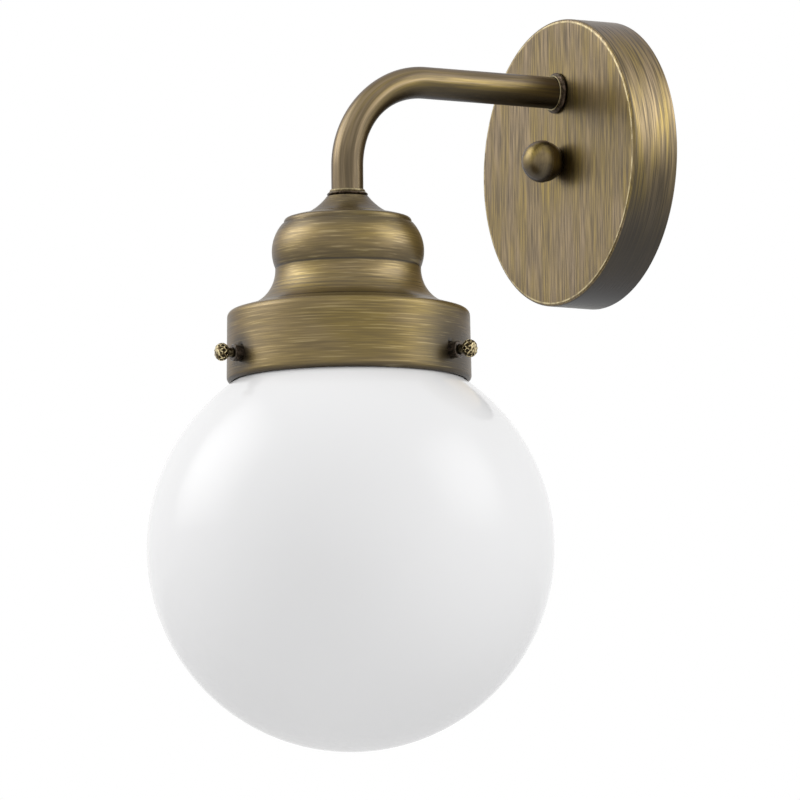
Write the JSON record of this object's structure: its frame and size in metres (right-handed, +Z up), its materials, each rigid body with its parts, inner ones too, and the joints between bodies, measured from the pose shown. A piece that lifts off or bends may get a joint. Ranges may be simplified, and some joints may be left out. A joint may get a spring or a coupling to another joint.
{
  "type": "globe wall sconce",
  "caption": "Wall light: round metal canopy, bent tube arm and spun bell holder with clamp screws that carries a round opal glass globe below the arm.",
  "frame": {"origin": "centre of the canopy on the wall plane, midway between the two slots of the mounting bar", "axes": "+Y into the wall, -Y into the room, +Z up"},
  "size_m": [0.1788, 0.2206, 0.3308],
  "materials": {
    "plate_brass": "straight-brushed antique",
    "spun_brass": "lathe-brushed antique",
    "arm_brass": "satin antique",
    "satin_brass": "satin antique, mottled",
    "dark_bronze": "dark satin",
    "blackened_brass": "blackened",
    "screw_brass": "polished, ribbed",
    "opal_glass": "glossy opal white",
    "zinc_steel": "zinc plated",
    "green_screw": "green plated",
    "nickel": "nickel plated",
    "porcelain": "glazed porcelain",
    "contact_brass": "bright"
  },
  "bodies": {
    "fixture": {"canopy": "plate_brass", "canopy_ring": "dark_bronze", "arm_tube": "arm_brass", "neck_ring": "dark_bronze", "neck_cap": "spun_brass", "shade_holder": "spun_brass", "screw_bushings": "blackened_brass", "globe": "opal_glass", "mounting_bar": "zinc_steel", "center_stud": "zinc_steel", "stud_lock_nut": "zinc_steel", "ground_screw": "green_screw", "wall_nipple": "zinc_steel", "wall_lock_washer": "zinc_steel", "wall_hex_nut": "zinc_steel", "lower_nipple": "zinc_steel", "holder_lock_washer": "zinc_steel", "holder_hex_nut": "zinc_steel", "socket_cap": "nickel", "socket_body": "porcelain", "socket_shell": "nickel", "center_contact": "contact_brass", "terminal_screws": "contact_brass"},
    "ball_nut_body": {"ball_nut": "satin_brass"},
    "thumb_screw_front_body": {"thumb_screw_front": "screw_brass"},
    "thumb_screw_right_body": {"thumb_screw_right": "screw_brass"},
    "thumb_screw_left_body": {"thumb_screw_left": "screw_brass"}
  },
  "joints": [
    {"name": "ball_nut_slide", "type": "slide", "parent": "fixture", "child": "ball_nut_body", "axis": [0, -1, 0], "range_m": [0, 0.006]},
    {"name": "thumb_screw_front_slide", "type": "slide", "parent": "fixture", "child": "thumb_screw_front_body", "axis": [-0.0628, -0.998, 0], "range_m": [0, 0.005]},
    {"name": "thumb_screw_right_slide", "type": "slide", "parent": "fixture", "child": "thumb_screw_right_body", "axis": [0.8957, 0.4446, 0], "range_m": [0, 0.005]},
    {"name": "thumb_screw_left_slide", "type": "slide", "parent": "fixture", "child": "thumb_screw_left_body", "axis": [-0.8329, 0.5534, 0], "range_m": [0, 0.005]}
  ]
}
